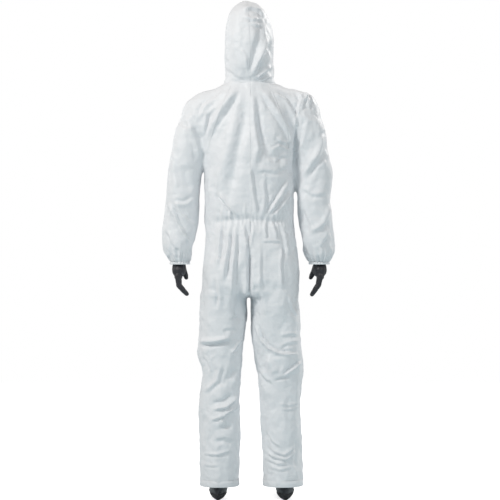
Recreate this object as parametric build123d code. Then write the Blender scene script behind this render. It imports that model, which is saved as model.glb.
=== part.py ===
from build123d import *
import math
import os

# A hooded chemical protective coverall with gloves and boots, hanging as it is
# worn, arms down and legs a little apart.
# Frame: +Z up, the front (zip) faces -Y, the wearer's left is +X. The origin
# is the centre of the wearer's neck at the neck seam. Millimetres.

# ---------------------------------------------------------------- dimensions
WALL = 2.0               # stand-in thickness of the coated nonwoven cloth
GAP = 0.5                # clearance between neighbouring pieces
POWER = 2.25             # superellipse power of the horizontal sections

NECK_Y_FRONT = -98.0     # front of the torso at the neck seam
FRONT_SLOPE = 0.0486     # the front hangs straight: y moves out this much per mm down

ARM_X = 180.0            # armhole plane
ARM_Z = -96.0            # shoulder height, centre of the armhole
ARM_R = 76.0             # armhole radius

ELBOW_X, ELBOW_Z, ELBOW_R = 246.0, -394.0, 64.0
HIP_X, HIP_Z, HIP_R = 97.0, -650.0, 112.0
KNEE_X, KNEE_Z, KNEE_R = 107.0, -1030.0, 86.0

ELBOW_SWING = 90.0       # degrees the lower sleeve swings forward
HIP_SWING, HIP_BACK = 75.0, 15.0
KNEE_SWING = 90.0        # degrees the lower leg swings back

CUFF_Z = -655.0          # sleeve end
HEM_Z = -1480.0          # leg end
SOLE_Z = -1528.0         # underside of the boots
HOOD_BOTTOM = 6.0
HOOD_TOP = 314.0

ZIP_TOP, ZIP_BOTTOM = -8.0, -545.0
ZIP_HALF = 14.5          # half width of the front opening the zip closes
TOOTH_PITCH = 5.0


def front_y(z):
    return NECK_Y_FRONT + FRONT_SLOPE * z


# Sections: height, centre x, half width, front y, back y
TORSO = [
    (z, 0.0, w, front_y(z), yb)
    for z, w, yb in [
        (0, 86, 70),
        (-12, 104, 82),
        (-30, 127, 95),
        (-60, 150, 107),
        (-110, 166, 118),
        (-180, 172, 125),
        (-290, 172, 127),
        (-400, 167, 120),
        (-500, 164, 112),
        (-560, 170, 122),
        (-640, 179, 133),
        (-705, 183, 135),
    ]
]
HOOD = [
    (HOOD_BOTTOM, 0, 84, -99, 69),
    (40, 0, 86, -105, 90),
    (90, 0, 89, -109, 113),
    (150, 0, 90, -111, 124),
    (205, 0, 87, -106, 122),
    (250, 0, 78, -92, 106),
    (282, 0, 61, -68, 82),
    (302, 0, 39, -40, 53),
    (HOOD_TOP, 0, 12, -10, 22),
]
UPPER_LEG = [
    (HIP_Z + HIP_R + 14, 91, 79, -112, 112),
    (HIP_Z + 40, 95, 83, -112, 112),
    (HIP_Z - 40, 98, 87, -112, 112),
    (-800, 99, 87.5, -104, 106),
    (-925, 103, 84, -92, 95),
    (KNEE_Z, 107, 79, -86, 86),
    (-1130, 109, 77, -84, 82),
]
LOWER_LEG = [
    (KNEE_Z + KNEE_R + 14, 105, 79, -86, 86),
    (KNEE_Z, 107, 79, -86, 86),
    (-1100, 109, 77, -86, 83),
    (-1190, 112, 76, -88, 80),
    (-1350, 114, 75, -97, 79),
    (HEM_Z, 115, 73, -102, 77),
]
UPPER_SLEEVE = [
    (-21, 181, 10, -14, 14),
    (-30, 180, 28, -40, 40),
    (-45, 180, 48, -57, 57),
    (-67, 180, 67, -70, 70),
    (ARM_Z, 182, 74, -77, 77),
    (-130, 200, 64, -77, 77),
    (-160, 216, 55, -75, 75),
    (-190, 230, 48, -73, 73),
    (-244, 237, 54, -70, 70),
    (-320, 243, 58, -67, 67),
    (ELBOW_Z, 246, 61, -66, 66),
    (ELBOW_Z - 40, 247.5, 62, -66, 66),
]
LOWER_SLEEVE = [
    (ELBOW_Z + ELBOW_R + 14, 244, 60, -64, 64),
    (ELBOW_Z, 246, 61, -64, 64),
    (-450, 250, 62, -66, 62),
    (-530, 256, 62, -68, 58),
    (-600, 261, 57, -66, 52),
    (-632, 263, 49, -57, 45),
    (-645, 263, 41, -49, 37),
    (CUFF_Z, 263, 39, -47, 35),
]
# Boot outline, from the sole up to the shaft
BOOT = [
    (SOLE_Z + 22, 115, 43, -212, 66),
    (-1497, 115, 43, -205, 67),
    (-1489, 115, 41, -178, 67),
    (-1484, 115, 39, -134, 66),
    (-1481, 115, 38, -96, 65),
    (-1468, 115, 37, -80, 63),
    (-1450, 115, 37, -70, 60),
    (-1420, 115, 39, -58, 58),
    (-1380, 115, 42, -54, 58),
    (-1340, 115, 44, -54, 58),
]


# ------------------------------------------------------------------- helpers
def even(sections, n=14):
    """The same form through n evenly spaced sections, so lofts don't ripple."""
    d = [0.0]
    for a, b in zip(sections, sections[1:]):
        d.append(d[-1] + math.sqrt(sum((p - q) ** 2 for p, q in zip(a, b))))

    def slopes(v):
        h = [d[k + 1] - d[k] for k in range(len(d) - 1)]
        m = [(v[k + 1] - v[k]) / h[k] for k in range(len(h))]
        t = [m[0]]
        for k in range(1, len(m)):
            w1, w2 = 2 * h[k] + h[k - 1], h[k] + 2 * h[k - 1]
            flat = m[k - 1] * m[k] <= 0
            t.append(0 if flat else (w1 + w2) / (w1 / m[k - 1] + w2 / m[k]))
        return t + [m[-1]]

    columns = list(zip(*sections))
    tangents = [slopes(c) for c in columns]
    out = []
    for k in range(n):
        at = d[-1] * k / (n - 1)
        i = max(j for j in range(len(d) - 1) if d[j] <= at + 1e-9)
        h = d[i + 1] - d[i]
        u = (at - d[i]) / h
        out.append(
            tuple(
                (2 * u**3 - 3 * u**2 + 1) * c[i]
                + (u**3 - 2 * u**2 + u) * h * t[i]
                + (3 * u**2 - 2 * u**3) * c[i + 1]
                + (u**3 - u**2) * h * t[i + 1]
                for c, t in zip(columns, tangents)
            )
        )
    return out


def section(z, cx, w, yf, yb, grow=0.0):
    """One closed horizontal section as four smooth quarters."""
    cy, d = (yf + yb) / 2, (yb - yf) / 2 + grow
    w = w + grow
    quarters = []
    for q in range(4):
        pts = []
        for k in range(5):
            a = math.pi / 2 * (q + k / 4)
            c, s = round(math.cos(a), 9), round(math.sin(a), 9)
            x = w * math.copysign(abs(c) ** (2 / POWER), c)
            y = d * math.copysign(abs(s) ** (2 / POWER), s)
            pts.append(Vector(cx + x, cy + y, z))
        ends = (math.pi / 2 * q, math.pi / 2 * (q + 1))
        tangents = [Vector(-w * math.sin(a), d * math.cos(a), 0) for a in ends]
        quarters.append(Edge.make_spline(pts, tangents=tangents))
    return Wire(quarters)


def body(sections, grow=0.0, drop=0.0, first=0.0, last=0.0):
    """Smooth solid through the sections, grown or shrunk by grow and lowered
    by drop, with its first and last sections moved outwards."""
    down = 1 if sections[0][0] > sections[-1][0] else -1
    wires = []
    for i, (z, cx, w, yf, yb) in enumerate(sections):
        if i == 0:
            z += first * down
        if i == len(sections) - 1:
            z -= last * down
        wires.append(section(z - drop, cx, w, yf, yb, grow))
    return Solid.make_loft(wires)


def block(x0, x1, y0, y1, z0, z1):
    return Pos((x0 + x1) / 2, (y0 + y1) / 2, (z0 + z1) / 2) * Box(
        abs(x1 - x0), abs(y1 - y0), abs(z1 - z0)
    )


def x_cylinder(x0, x1, y, z, r, r1=None):
    """Cylinder, or cone from r at x0 to r1 at x1, along X."""
    at = Pos((x0 + x1) / 2, y, z) * Rot(0, 90, 0)
    if r1 is None:
        return at * Cylinder(r, abs(x1 - x0))
    return at * Cone(r, r1, abs(x1 - x0))


def x_prism(points, x0, x1):
    """Prism along X from (y, z) points."""
    wire = Wire.make_polygon([Vector(x0, y, z) for y, z in points])
    return extrude(Face(wire), amount=x1 - x0, dir=(1, 0, 0))


def save(node, shape):
    solids = [s for s in shape.solids() if s.volume > 1.0]
    part = solids[0] if len(solids) == 1 else Compound(children=solids)
    part.label = node
    export_step(part, f"parts/{node}.step")
    print(f"{node:28s} {len(solids)} solids {sum(s.volume for s in solids) / 1000:8.2f} cm3")


def both(node, shape):
    """Write the left (+X) node and its mirror image on the right."""
    save(node + "_left", shape)
    save(node + "_right", mirror(shape, about=Plane.YZ))


def swept(x0, x1, y, z, r, forward, back):
    """Room that a limb of radius r takes as it swings about (y, z)."""
    far = 900.0
    f, b = math.radians(forward), math.radians(back)
    pts = [
        (y - r * math.cos(f), z + r * math.sin(f)),
        (y - r * math.cos(f) - far * math.sin(f), z + r * math.sin(f) - far * math.cos(f)),
        (y - far, z - far * 1.5),
        (y + far, z - far * 1.5),
        (y + r * math.cos(b) + far * math.sin(b), z + r * math.sin(b) - far * math.cos(b)),
        (y + r * math.cos(b), z + r * math.sin(b)),
        (y, z + 1),
    ]
    return x_prism(pts, x0, x1) + x_cylinder(x0, x1, y, z, r)


def limb(sections, z, r, fold, fold_back):
    """Tube whose top is rounded about the joint, with the fold of cloth that
    covers the inside of the bend, and open for the wearer."""
    below = block(0, 400, -400, 400, z - 1500, z)
    outer = body(sections) & (x_cylinder(0, 400, 0, z, r) + below)
    bore = body(sections, -WALL, first=3, last=3)
    inner = bore & (x_cylinder(0, 400, 0, z, r - WALL) + below)
    edge = r * math.cos(math.radians(fold))
    way = block(0, 400, *((-400, edge) if fold_back else (-edge, 400)), z, z + 400)
    return outer - inner - (bore & way)


os.makedirs("parts", exist_ok=True)

# --------------------------------------------------------------------- torso
trunk = even(TORSO)
outer = body(trunk) + x_cylinder(80, ARM_X, 0, ARM_Z, 93, ARM_R)
inner = body(trunk, -WALL, drop=WALL, first=3, last=3) + x_cylinder(
    70, ARM_X + 4, 0, ARM_Z, 94.7 - WALL, ARM_R - 0.68 - WALL
)
torso = (outer & block(GAP / 2, 400, -400, 400, -705, 20)) - inner
torso = torso - swept(9, 400, 0, HIP_Z, HIP_R + 3, HIP_SWING, HIP_BACK)
both("back_panel", torso & block(0, 400, GAP / 2, 400, -705, 20))
front = torso & block(0, 400, -400, -GAP / 2, -705, 20)
both("front_panel", front - block(-1, ZIP_HALF, -400, 0, ZIP_BOTTOM - 6, 20))

# Binding tape over the centre back seam
raised = body(trunk, 1.5) - body(trunk, 0.4, first=3, last=3)
save("back_seam_binding", raised & block(-3.5, 3.5, 40, 400, -640, -16))

# Back waist elastic, inside the cloth
waist = body(trunk, -WALL - 1.6) - body(trunk, -WALL - 3.6, first=3, last=3)
save("waist_elastic", waist & block(-128, 128, 40, 400, -512, -492))

# Neck seam band, between the torso and the hood
band = [(5.5, 0, 85, -98.3, 69), (0.5, 0, 86, -98.3, 70)]
save("neck_band", body(band) - body(band, -WALL, first=3, last=3))

# Armhole seam binding
both(
    "armhole_binding",
    x_cylinder(ARM_X - 5, ARM_X, 0, ARM_Z, ARM_R + 2.6)
    - x_cylinder(ARM_X - 6, ARM_X + 1, 0, ARM_Z, ARM_R + 1.1),
)

# Crotch gusset: a strip from the front to the back between the legs
FALL = [(-128, -735), (-104, -772), (-60, -792), (0, -798), (62, -792), (108, -771), (131, -735)]
outline = [(front_y(-705), -705.5), *FALL, (135, -705.5)]
path_out = Edge.make_spline([Vector(0, y, z) for y, z in outline])
path_in = Edge.make_spline(
    [
        Vector(0, y - math.copysign(WALL, y) if z > -770 else y * 0.985, z + (0 if z > -740 else WALL))
        for y, z in outline
    ]
)
strip = Face(
    Wire(
        [
            path_out,
            Edge.make_line(path_out @ 1, path_in @ 1),
            path_in,
            Edge.make_line(path_in @ 0, path_out @ 0),
        ]
    )
)
save("crotch_gusset", Pos(-8, 0, 0) * extrude(strip, amount=16, dir=(1, 0, 0)))

# Blank size label at the back of the neck, hanging inside
save("size_label", block(-16, 16, 58, 58.8, -62, -22))

# ----------------------------------------------------------------------- zip
zip_plane = Plane(
    origin=(0, front_y(ZIP_TOP), ZIP_TOP), x_dir=(1, 0, 0), z_dir=(0, FRONT_SLOPE, 1)
)
zip_length = (ZIP_TOP - ZIP_BOTTOM) * math.hypot(1, FRONT_SLOPE)


def on_zip(shape):
    return zip_plane.location * shape


both("zipper_tape", on_zip(block(3.7, ZIP_HALF - GAP, -0.4, 0.4, -zip_length, 0)))

# Tooth row: a thin spine with teeth that stop short of the centre line
row = [(3.4, -1.0), (3.4, -zip_length + 4), (2.2, -zip_length + 4)]
z = -zip_length + 4
while z < -16 - TOOTH_PITCH:
    row += [(2.2, z + 1.2), (0.9, z + 1.5), (0.9, z + 3.4), (2.2, z + 3.7)]
    z += TOOTH_PITCH
row.append((2.2, -1.0))
comb = Face(Wire.make_polygon([Vector(x, -1, z) for x, z in row]))
both("zipper_teeth", on_zip(extrude(comb, amount=2, dir=(0, 1, 0))))
save(
    "zipper_bottom_stop",
    on_zip(block(-3.4, 3.4, -1.6, 1.6, -zip_length + 0.3, -zip_length + 3.5)),
)
# Slider: two plates joined by a thin post that runs between the tooth rows
slider = (
    block(-6.5, 6.5, -3.6, 3.4, -16, -1)
    - block(-4.2, 4.2, -1.7, 1.7, -30, 10)
    - block(-8, 8, -1.1, 1.1, -30, 10)
    + block(-0.35, 0.35, -2, 2, -9, -2)
)
save("zipper_slider", on_zip(slider))
tab = (
    block(-3.2, 3.2, -5.4, -3.6, -38, -3)
    - block(-1.6, 1.6, -8, 0, -35, -22)
)
save("zipper_pull_tab", on_zip(tab - block(-5, 5, -4.0, 0, -60, -15)))

# Storm flap over the zip, sewn down along one edge
FLAP_HINGE_X = 31.0
flap_y = (-9.2, -8.0)
save(
    "storm_flap",
    on_zip(block(-31, FLAP_HINGE_X - 0.6, *flap_y, -zip_length + 2, -1)),
)
save("flap_adhesive_strip", on_zip(block(-29, -20, -7.9, -7.3, -zip_length + 10, -10)))
base = on_zip(block(FLAP_HINGE_X, 36, -9.2, 12, -zip_length + 2, -1))
save("flap_seam_strip", base - body(trunk, 0.4, first=3, last=3))

# ---------------------------------------------------------------------- hood
cap = even(HOOD)
hood = body(cap) - body(cap, -WALL, drop=WALL, first=5)


def face_oval(grow):
    """Oval face opening seen from the front, as a bar along Y."""
    plane = Plane(origin=(0, -400, 143), x_dir=(1, 0, 0), z_dir=(0, 1, 0))
    oval = Edge.make_ellipse(61 + grow, 101 + grow, plane)
    return extrude(Face(Wire([oval])), amount=360, dir=(0, 1, 0))


both("hood_panel", (hood & block(GAP / 2, 400, -400, 400, 0, 400)) - face_oval(7.5))
elastic = body(cap, 1.5) - body(cap, -WALL - 1.5, drop=WALL, first=5)
save("face_opening_elastic", elastic & (face_oval(7.0) - face_oval(0)))
hood_raised = body(cap, 1.5) - body(cap, 0.4)
save("hood_seam_binding", hood_raised & block(-3.5, 3.5, 20, 400, 40, 296))

# ------------------------------------------------------------------- sleeves
sleeve_top = even(UPPER_SLEEVE, 18)
cloth = body(sleeve_top) & block(ARM_X + 1, 420, -200, 200, -700, 50)
cloth = cloth - body(sleeve_top, -WALL, drop=WALL, last=4)
both(
    "upper_sleeve",
    cloth - swept(100, 400, 0, ELBOW_Z, ELBOW_R + 1, ELBOW_SWING, 0),
)
forearm = even(LOWER_SLEEVE, 18)
both(
    "lower_sleeve",
    limb(forearm, ELBOW_Z, ELBOW_R, 60, False)
    & block(0, 400, -400, 400, CUFF_Z + 16.5, 0),
)
ring = body(forearm, 0.6) - body(forearm, -WALL - 0.8, first=3, last=3)
both("cuff_elastic", ring & block(0, 400, -400, 400, CUFF_Z, CUFF_Z + 16))


# -------------------------------------------------------------------- gloves
GLOVE_WALL = 1.5
PALM = [
    (-600, 262, 27, -38, 28),
    (-650, 262, 26, -38, 28),
    (-672, 261, 25, -42, 32),
    (-698, 259, 22, -47, 37),
    (-722, 256, 18, -46, 38),
    (-732, 254, 14, -42, 34),
]
# Fingers: y of the finger, its radius, height of its tip
FINGERS = [(-35, 9.4, -766), (-14.5, 9.7, -776), (6, 9.4, -773), (26, 8.4, -762)]
THUMB = [
    (-664, 256, 11, -46, -24),
    (-690, 252, 12, -57, -33),
    (-712, 244, 11, -68, -46),
    (-727, 238, 10, -71, -51),
    (-736, 235, 8, -70, -54),
    (-740, 234, 5, -67, -57),
]


def digit(y, r, tip):
    """One finger, from inside the palm to its rounded tip."""
    rows = [(-706, 256, 0.96), (-735, 252, 1.0), (tip + 16, 243, 0.98), (tip + 7, 240, 0.85)]
    rows += [(tip + 2, 238.5, 0.66), (tip, 238, 0.45)]
    return [(z, x, r * k, y - r * k, y + r * k) for z, x, k in rows]


def hand(g):
    form = body(even(PALM, 9), g, first=3 if g < 0 else 0, last=g)
    for y, r, tip in FINGERS:
        form = form + body(even(digit(y, r, tip), 9), g, last=g)
    return form + body(even(THUMB, 9), g, last=g)


both("glove", hand(0) - hand(-GLOVE_WALL))
bead = [(-592, 262, 28.4, -39.4, 29.4), (-599.6, 262, 28.4, -39.4, 29.4)]
both("glove_cuff_bead", body(bead) - body(bead, -3.2, first=3, last=3))

# ---------------------------------------------------------------------- legs
thigh = even(UPPER_LEG)
both(
    "upper_leg",
    limb(thigh, HIP_Z, HIP_R, 50, False) - swept(0, 400, 0, KNEE_Z, KNEE_R + 1, 0, KNEE_SWING),
)
shin = even(LOWER_LEG)
both(
    "lower_leg",
    limb(shin, KNEE_Z, KNEE_R, 60, True) & block(0, 400, -400, 400, HEM_Z + 22.5, 0),
)
ring = body(shin, 0.6) - body(shin, -WALL - 0.8, first=3, last=3)
both("ankle_hem", ring & block(0, 400, -400, 400, HEM_Z, HEM_Z + 22))

# --------------------------------------------------------------------- boots
BOOT_WALL = 2.5
foot = even(BOOT, 16)
bore = body(foot, -BOOT_WALL, first=0, last=3) & block(0, 400, -400, 400, SOLE_Z + 26, 0)
both("boot_upper", body(foot) - bore)
SOLE = [
    (SOLE_Z, 115, 40, -206, 60),
    (SOLE_Z + 8, 115, 44, -214, 66),
    (SOLE_Z + 21.6, 115, 44, -214, 68),
]
both("boot_sole", body(SOLE))
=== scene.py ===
import itertools
import math

import bmesh
import bpy
import numpy as np
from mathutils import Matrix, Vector, noise
from mathutils.bvhtree import BVHTree


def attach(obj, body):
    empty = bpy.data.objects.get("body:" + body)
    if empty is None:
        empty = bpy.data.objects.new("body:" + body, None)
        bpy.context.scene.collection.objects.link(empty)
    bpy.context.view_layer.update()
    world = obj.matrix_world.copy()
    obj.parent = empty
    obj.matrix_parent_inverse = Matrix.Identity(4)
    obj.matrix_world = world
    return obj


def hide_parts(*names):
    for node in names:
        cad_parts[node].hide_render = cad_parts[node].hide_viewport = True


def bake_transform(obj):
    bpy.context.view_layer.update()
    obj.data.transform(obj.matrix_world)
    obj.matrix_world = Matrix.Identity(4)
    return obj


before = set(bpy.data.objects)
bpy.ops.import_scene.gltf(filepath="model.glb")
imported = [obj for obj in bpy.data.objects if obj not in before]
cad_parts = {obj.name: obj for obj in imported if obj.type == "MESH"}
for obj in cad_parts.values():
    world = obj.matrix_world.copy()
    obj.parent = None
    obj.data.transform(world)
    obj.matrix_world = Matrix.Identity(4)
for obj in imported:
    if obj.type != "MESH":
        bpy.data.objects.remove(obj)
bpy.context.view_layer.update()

MM = 0.001
TURN = 2 * math.pi
LIMB_POWER = 2.25  # superellipse power of the limbs' cross sections
SIDES = (("left", 1), ("right", -1))

# ------------------------------------------------------------ small helpers


def new_mesh(name, verts, faces):
    mesh = bpy.data.meshes.new(name)
    mesh.from_pydata([tuple(v) for v in verts], [], [tuple(f) for f in faces])
    mesh.update()
    mesh.shade_smooth()
    obj = bpy.data.objects.new(name, mesh)
    bpy.context.scene.collection.objects.link(obj)
    return obj


def dressed(obj, mat):
    """Give a finished mesh its material."""
    obj.data.materials.append(mat)
    return obj


def read(mesh, what):
    values = np.empty(len(mesh.vertices) * 3)
    mesh.vertices.foreach_get(what, values)
    return values.reshape(-1, 3)


def coords(mesh):
    return read(mesh, "co")


def normals(mesh):
    return read(mesh, "normal")


def set_coords(mesh, co):
    mesh.vertices.foreach_set("co", np.asarray(co, float).ravel())
    mesh.update()


def smoothstep(a, b, x):
    t = np.clip((x - a) / (b - a), 0, 1)
    return t * t * (3 - 2 * t)


def bell(x, width):
    return np.exp(-((x / width) ** 2))


def rounded(angle, exponent):
    """Point of a unit superellipse."""
    c, s = math.cos(angle), math.sin(angle)
    return math.copysign(abs(c) ** exponent, c), math.copysign(abs(s) ** exponent, s)


def averaged(values, closed):
    """One pass of 1-2-1 smoothing along a row."""
    n = len(values)
    inner = range(n) if closed else range(1, n - 1)
    middle = [(values[i - 1] + values[i] * 2 + values[(i + 1) % n]) / 4 for i in inner]
    return middle if closed else [values[0]] + middle + [values[-1]]


def quads(rows, cols, flip=False, round_rows=True, round_cols=False):
    """Faces of a grid of points; rows and columns may close on themselves."""
    faces = []
    for i in range(rows if round_cols else rows - 1):
        for k in range(cols if round_rows else cols - 1):
            a, b = i * cols + k, i * cols + (k + 1) % cols
            step = ((i + 1) % rows - i) * cols
            faces.append((a, a + step, b + step, b) if flip else (a, b, b + step, a + step))
    return faces


def ends(rows, cols, flip=False):
    """Faces that close the first and the last row of a grid."""
    first, last = list(range(cols)), list(range((rows - 1) * cols, rows * cols))
    return [tuple(first), tuple(last[::-1])] if flip else [tuple(first[::-1]), tuple(last)]


def resample(sections, n):
    """Monotone curve through the section table, at n even steps."""
    s = np.array(sections, float)
    d = np.concatenate([[0], np.cumsum(np.sqrt((np.diff(s, axis=0) ** 2).sum(1)))])
    h = np.diff(d)
    m = np.diff(s, axis=0) / h[:, None]
    t = np.zeros_like(s)
    t[0], t[-1] = m[0], m[-1]
    for k in range(1, len(h)):
        w1, w2 = 2 * h[k] + h[k - 1], h[k] + 2 * h[k - 1]
        ok = m[k - 1] * m[k] > 0
        t[k][ok] = (w1 + w2) / (w1 / m[k - 1][ok] + w2 / m[k][ok])
    out = []
    for at in np.linspace(0, d[-1], n):
        i = min(np.searchsorted(d, at, side="right") - 1, len(h) - 1)
        u = (at - d[i]) / h[i]
        out.append(
            (2 * u**3 - 3 * u**2 + 1) * s[i]
            + (u**3 - 2 * u**2 + u) * h[i] * t[i]
            + (3 * u**2 - 2 * u**3) * s[i + 1]
            + (u**3 - u**2) * h[i] * t[i + 1]
        )
    return np.array(out)


def tube(sections, n, around=56, power=LIMB_POWER):
    """Closed skin through horizontal sections (z, cx, w, yf, yb) in mm."""
    rows = resample(sections, n)
    verts = []
    for z, cx, w, yf, yb in rows:
        cy, d = (yf + yb) / 2, (yb - yf) / 2
        for k in range(around):
            c, s = rounded(TURN * k / around, 2 / power)
            verts.append(((cx + w * c) * MM, (cy + d * s) * MM, z * MM))
    down = rows[0][0] > rows[-1][0]
    return verts, quads(n, around, down) + ends(n, around, down)


def merge(parts):
    verts, faces = [], []
    for v, f in parts:
        base = len(verts)
        verts += v
        faces += [tuple(i + base for i in g) for g in f]
    return verts, faces


def apply_modifier(obj, kind, **settings):
    """Bake a new modifier, and any that came before it, into the mesh."""
    mod = obj.modifiers.new("m", kind)
    for k, v in settings.items():
        setattr(mod, k, v)
    dg = bpy.context.evaluated_depsgraph_get()
    mesh = bpy.data.meshes.new_from_object(obj.evaluated_get(dg))
    old = obj.data
    obj.modifiers.clear()
    obj.data = mesh
    bpy.data.meshes.remove(old)


def neighbours_smooth(mesh, co, times, weight=None, factor=0.5):
    """Laplacian smoothing, where weight allows."""
    e = np.empty(len(mesh.edges) * 2, dtype=np.int64)
    mesh.edges.foreach_get("vertices", e)
    e = e.reshape(-1, 2)
    count = np.bincount(e.ravel(), minlength=len(co)).astype(float)[:, None]
    count[count == 0] = 1
    w = factor if weight is None else (factor * weight)[:, None]
    for _ in range(times):
        total = np.zeros_like(co)
        for c in range(3):
            total[:, c] = np.bincount(e[:, 0], co[e[:, 1], c], len(co))
            total[:, c] += np.bincount(e[:, 1], co[e[:, 0], c], len(co))
        co = co + w * (total / count - co)
    return co


# ---------------------------------------------------------------- materials


def material(name, color, rough, specular=0.5):
    mat = bpy.data.materials.new(name)
    mat.use_nodes = True
    nt = mat.node_tree
    bsdf = nt.nodes["Principled BSDF"]
    bsdf.inputs["Base Color"].default_value = (*color, 1)
    bsdf.inputs["Roughness"].default_value = rough
    bsdf.inputs["Specular IOR Level"].default_value = specular
    return mat, nt, bsdf


def node(nt, kind, **values):
    n = nt.nodes.new("ShaderNode" + kind)
    for k, v in values.items():
        if k in n.inputs:
            n.inputs[k].default_value = v
        else:
            setattr(n, k, v)
    return n


def texture(nt, kind, place, **values):
    n = node(nt, "Tex" + kind, **values)
    nt.links.new(place, n.inputs["Vector"])
    return n


def bumps(nt, bsdf, *layers):
    """Stack bump layers: (height socket, strength, distance)."""
    last = None
    for height, strength, distance in layers:
        b = node(nt, "Bump", Strength=strength, Distance=distance)
        nt.links.new(height, b.inputs["Height"])
        if last:
            nt.links.new(last, b.inputs["Normal"])
        last = b.outputs["Normal"]
    nt.links.new(last, bsdf.inputs["Normal"])


def tones(nt, bsdf, fac, dark, light, start=0.0, end=1.0):
    """Colour runs from dark to light with fac."""
    ramp = node(nt, "ValToRGB")
    first, last = ramp.color_ramp.elements
    first.position, first.color = start, (*dark, 1)
    last.position, last.color = end, (*light, 1)
    nt.links.new(fac, ramp.inputs["Fac"])
    nt.links.new(ramp.outputs["Color"], bsdf.inputs["Base Color"])


def sheen_range(nt, bsdf, fac, low, high):
    """Roughness runs from low to high with fac."""
    span = node(nt, "MapRange", **{"To Min": low, "To Max": high})
    nt.links.new(fac, span.inputs["Value"])
    nt.links.new(span.outputs["Result"], bsdf.inputs["Roughness"])


def nonwoven(name, base=(0.80, 0.815, 0.83), crinkle=0.8):
    """Coated flash-spun cloth: crinkled film over fine swirled fibres."""
    mat, nt, bsdf = material(name, base, 0.5, 0.35)
    bsdf.inputs["Sheen Weight"].default_value = 0.08
    bsdf.inputs["Sheen Roughness"].default_value = 0.5
    pos = node(nt, "TexCoord").outputs["Object"]
    # the film's facets lie on a slightly warped grid
    warp = texture(nt, "Noise", pos, Scale=9.0, Detail=3.0)
    mix = node(nt, "Mix", data_type="VECTOR", Factor=0.06)
    nt.links.new(pos, mix.inputs[4])
    nt.links.new(warp.outputs["Color"], mix.inputs[5])
    warped = mix.outputs[1]
    crease = texture(nt, "Voronoi", warped, feature="DISTANCE_TO_EDGE", Scale=26.0)
    edge = node(nt, "MapRange", **{"From Min": 0.0, "From Max": 0.22})
    nt.links.new(crease.outputs["Distance"], edge.inputs["Value"])
    soft = texture(nt, "Noise", warped, Scale=22.0, Detail=4.0, Roughness=0.55)
    facet = texture(nt, "Voronoi", warped, distance="MANHATTAN", Scale=34.0)
    fibre = texture(nt, "Noise", pos, Scale=420.0, Detail=3.0, Distortion=2.5)
    bumps(
        nt,
        bsdf,
        (soft.outputs["Fac"], 0.40 * crinkle, 0.008),
        (facet.outputs["Distance"], 0.40 * crinkle, 0.005),
        (edge.outputs["Result"], 0.30 * crinkle, 0.0012),
        (fibre.outputs["Fac"], 0.22, 0.0004),
    )
    shade = (base[0] * 0.955, base[1] * 0.965, base[2] * 0.98)
    tones(nt, bsdf, fibre.outputs["Fac"], shade, base, 0.35, 0.65)
    sheen_range(nt, bsdf, soft.outputs["Fac"], 0.42, 0.62)
    return mat


def rubber(name, color, scale, rough):
    mat, nt, bsdf = material(name, color, rough, 0.45)
    pos = node(nt, "TexCoord").outputs["Object"]
    grain = texture(nt, "Voronoi", pos, Scale=scale * 4)
    cloud = texture(nt, "Noise", pos, Scale=scale * 0.4, Detail=4.0).outputs["Fac"]
    bumps(nt, bsdf, (cloud, 0.25, 0.002), (grain.outputs["Distance"], 0.15, 0.0004))
    tones(nt, bsdf, cloud, [c * 0.8 for c in color], [c * 1.9 for c in color])
    sheen_range(nt, bsdf, cloud, rough - 0.1, rough + 0.12)
    return mat


def woven(name, color, scale=900.0):
    """Tape with fine ribs."""
    mat, nt, bsdf = material(name, color, 0.7)
    pos = node(nt, "TexCoord").outputs["Object"]
    wave = texture(nt, "Wave", pos, Scale=scale, Distortion=0.6, bands_direction="Z").outputs["Fac"]
    tones(nt, bsdf, wave, [c * 0.86 for c in color], color)
    bumps(nt, bsdf, (wave, 0.4, 0.0004))
    return mat


def moulded(name, color, rough=0.38):
    mat, nt, bsdf = material(name, color, rough)
    pos = node(nt, "TexCoord").outputs["Object"]
    grain = texture(nt, "Noise", pos, Scale=700.0, Detail=2.0).outputs["Fac"]
    bumps(nt, bsdf, (grain, 0.15, 0.0003))
    sheen_range(nt, bsdf, grain, rough - 0.08, rough + 0.1)
    return mat


CLOTH = nonwoven("suit_nonwoven")
SEAM = nonwoven("seam_thread_tape", (0.77, 0.785, 0.80), 0.3)
GLOVE = rubber("glove_rubber", (0.020, 0.020, 0.024), 160.0, 0.46)
BOOT = rubber("boot_rubber", (0.016, 0.017, 0.021), 90.0, 0.38)
SOLE = rubber("sole_rubber", (0.012, 0.012, 0.014), 120.0, 0.6)
TAPE = woven("zip_tape_weave", (0.74, 0.76, 0.80))
ZIP = moulded("zip_plastic", (0.78, 0.80, 0.83))
LINER = moulded("adhesive_liner", (0.70, 0.73, 0.76), 0.3)
ELASTIC = woven("elastic_weave", (0.76, 0.78, 0.81), 500.0)

# ------------------------------------------------------------ garment form
# Section rows: height, centre x, half width, front y, back y, in mm
ZIP_Y, ZIP_SLOPE = -98, 0.0486  # the zip lies on this sloping plane


def front_at(z):
    return ZIP_Y + ZIP_SLOPE * z + 3.0



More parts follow.
